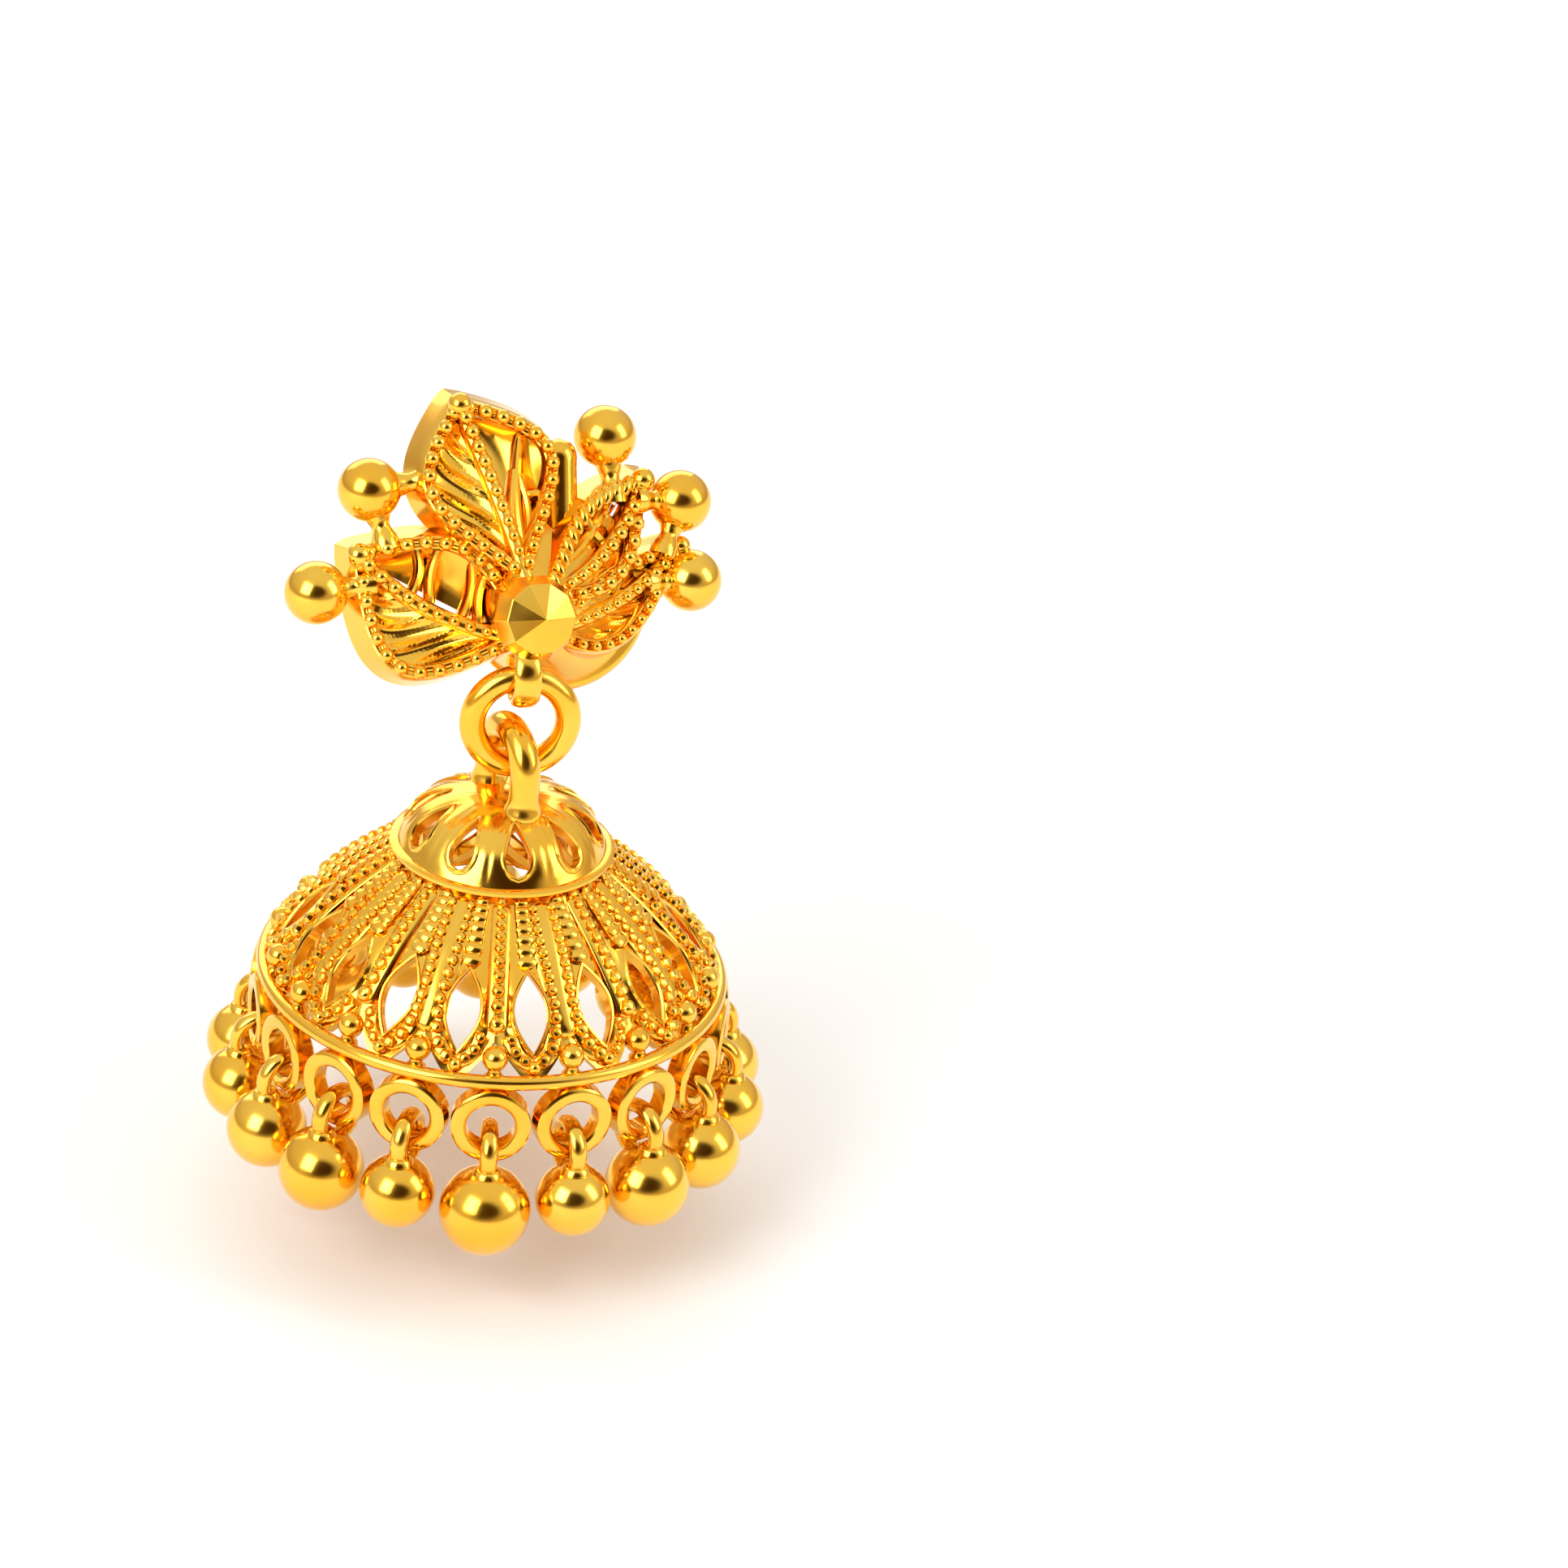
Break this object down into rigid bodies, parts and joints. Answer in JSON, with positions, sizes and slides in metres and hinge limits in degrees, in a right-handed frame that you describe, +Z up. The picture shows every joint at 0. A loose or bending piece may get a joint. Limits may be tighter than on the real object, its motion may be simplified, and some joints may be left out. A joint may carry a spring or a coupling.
{
  "type": "drop earring",
  "caption": "Gold drop earring: a pierced leaf flower stud with a screw back, a jump ring, and a pierced bell with a fringe of ball drops.",
  "frame": {"origin": "on the post's axis, at the rear face of the flower's backing plate, where the earlobe sits", "axes": "+Z up along the hanging line, -Y the way the flower faces, +Y to the ear and the back of the post, +X to the right seen from the front"},
  "size_m": [0.0234, 0.0238, 0.0301],
  "materials": {
    "cast_gold": "bright cast gold, tumbled and polished",
    "polished_gold": "mirror-polished gold"
  },
  "bodies": {
    "flower": {"flower_top": "cast_gold", "ear_nut": "polished_gold"},
    "ring": {"jump_ring": "polished_gold"},
    "bell": {"bell_cap": "cast_gold", "bell_dome": "cast_gold", "bead_drop_01": "polished_gold", "bead_drop_02": "polished_gold", "bead_drop_03": "polished_gold", "bead_drop_04": "polished_gold", "bead_drop_05": "polished_gold", "bead_drop_06": "polished_gold", "bead_drop_07": "polished_gold", "bead_drop_08": "polished_gold", "bead_drop_09": "polished_gold", "bead_drop_10": "polished_gold", "bead_drop_11": "polished_gold", "bead_drop_12": "polished_gold", "bead_drop_13": "polished_gold", "bead_drop_14": "polished_gold", "bead_drop_15": "polished_gold", "bead_drop_16": "polished_gold", "bead_drop_17": "polished_gold", "bead_drop_18": "polished_gold"}
  },
  "joints": [
    {"name": "jump_ring_swing", "type": "hinge", "parent": "flower", "child": "ring", "pos_m": [-0.00265, -0.00457, -0.0024], "axis": [-0.1736, -0.9848, 0], "range_deg": [-35, 35]},
    {"name": "bell_swing", "type": "hinge", "parent": "ring", "child": "bell", "pos_m": [-0.00299, -0.00451, -0.00532], "axis": [0.9848, -0.1736, 0], "range_deg": [-45, 30]}
  ]
}
